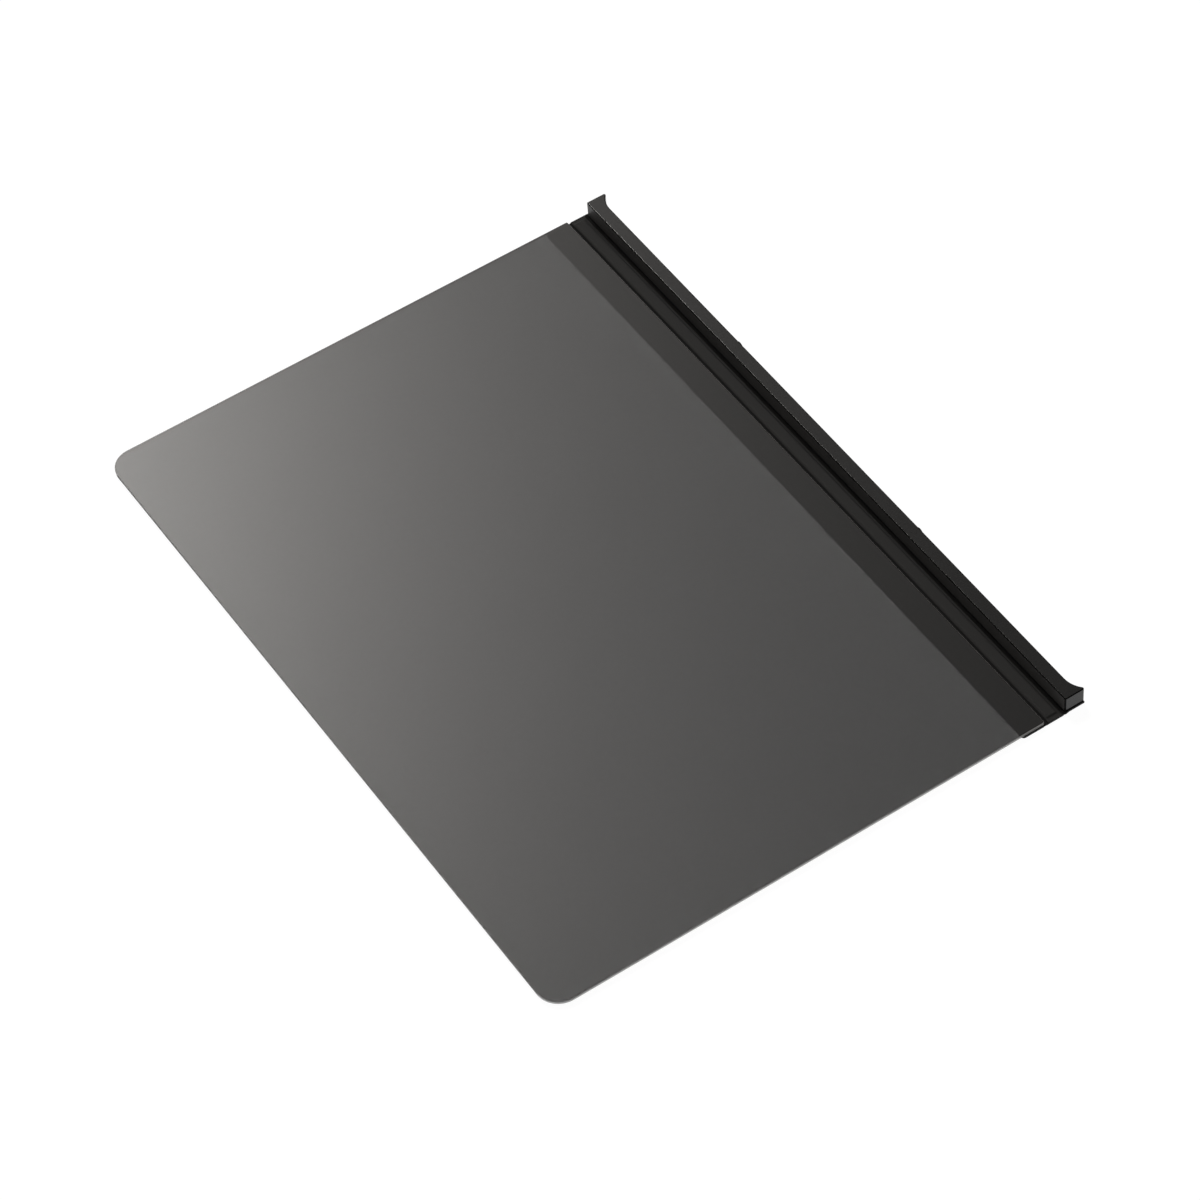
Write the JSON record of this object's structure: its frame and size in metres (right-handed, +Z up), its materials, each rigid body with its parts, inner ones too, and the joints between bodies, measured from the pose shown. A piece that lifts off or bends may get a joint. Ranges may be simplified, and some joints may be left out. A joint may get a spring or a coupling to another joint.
{
  "type": "tablet privacy screen",
  "caption": "Flip-over privacy screen for a tablet: a tinted film hinged by a soft flap to a slim magnetic bar with flared ends and locating pegs.",
  "frame": {"origin": "centre of the footprint, on the surface that the flap lies on", "axes": "+X from the film's free edge towards the bar, +Y along the bar, +Z up"},
  "size_m": [0.1864, 0.254, 0.0065],
  "materials": {
    "bar_plastic": "fine satin moulded plastic, near black",
    "peg_plastic": "smooth moulded plastic, near black",
    "yoke_steel": "plain cold-rolled strip",
    "magnet_plate": "nickel-plated block magnet",
    "flap_skin": "soft-touch synthetic leather with a very fine grain",
    "board": "plain stiffening board",
    "tape": "black double-sided adhesive tape",
    "film_clear": "clear hard-coated sheet, slightly glossy",
    "film_tint": "dark tinted louvre core"
  },
  "bodies": {
    "bar": {"bar_housing": "bar_plastic", "bar_closing_strip": "bar_plastic", "magnet_yoke": "yoke_steel", "magnet_01": "magnet_plate", "magnet_02": "magnet_plate", "magnet_03": "magnet_plate", "magnet_04": "magnet_plate", "magnet_05": "magnet_plate", "magnet_06": "magnet_plate", "magnet_07": "magnet_plate", "magnet_08": "magnet_plate", "magnet_09": "magnet_plate", "magnet_10": "magnet_plate", "locating_peg_near": "peg_plastic", "locating_peg_far": "peg_plastic", "bar_tape": "tape", "root_lower_skin": "flap_skin", "root_upper_skin": "flap_skin", "root_fold": "flap_skin"},
    "link": {"link_lower_skin": "flap_skin", "link_board": "board", "link_upper_skin": "flap_skin"},
    "screen": {"film_fold": "flap_skin", "tab_lower_skin": "flap_skin", "tab_upper_skin": "flap_skin", "film_tape": "tape", "film_back_sheet": "film_clear", "film_louvre_core": "film_tint", "film_front_sheet": "film_clear"}
  },
  "joints": [
    {"name": "root_fold_hinge", "type": "hinge", "parent": "bar", "child": "link", "pos_m": [0.08575, 0, 0.00074], "axis": [0, 1, 0], "range_deg": [0, 90], "deforming": ["root_fold"]},
    {"name": "film_fold_hinge", "type": "hinge", "parent": "link", "child": "screen", "pos_m": [0.07863, 0, 0.00074], "axis": [0, 1, 0], "range_deg": [0, 90], "deforming": ["film_fold"]}
  ]
}
